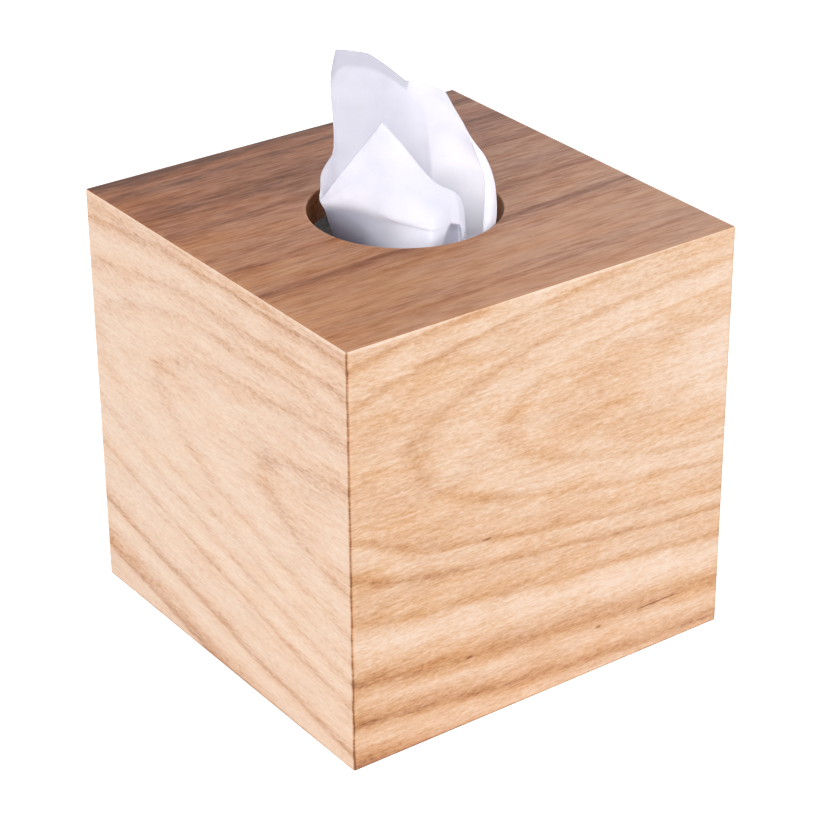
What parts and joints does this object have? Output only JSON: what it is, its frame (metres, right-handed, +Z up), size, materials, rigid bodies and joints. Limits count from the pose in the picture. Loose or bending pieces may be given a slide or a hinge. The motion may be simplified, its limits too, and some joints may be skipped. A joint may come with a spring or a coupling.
{
  "type": "tissue box cover with carton",
  "caption": "Cube-shaped wooden cover with a round hole in its top, standing over a card carton of tissues, with one tissue drawn up through the hole.",
  "frame": {"origin": "middle of the square footprint, on the surface that the box stands on", "axes": "+Z up, +X to the right along the front board, +Y from the front board to the back board"},
  "size_m": [0.14, 0.14, 0.184],
  "materials": {
    "side_wood": "sanded and oiled, satin",
    "top_wood": "sanded and oiled, satin",
    "carton_card": "plain white-lined card, matt",
    "tissue_paper": "soft crepe, matt"
  },
  "bodies": {
    "root": {"front_board": "side_wood", "left_board": "side_wood", "right_board": "side_wood", "back_board": "side_wood", "top_board": "top_wood", "carton": "carton_card", "tissue_stack": "tissue_paper", "drawn_tissue": "tissue_paper"}
  },
  "joints": []
}
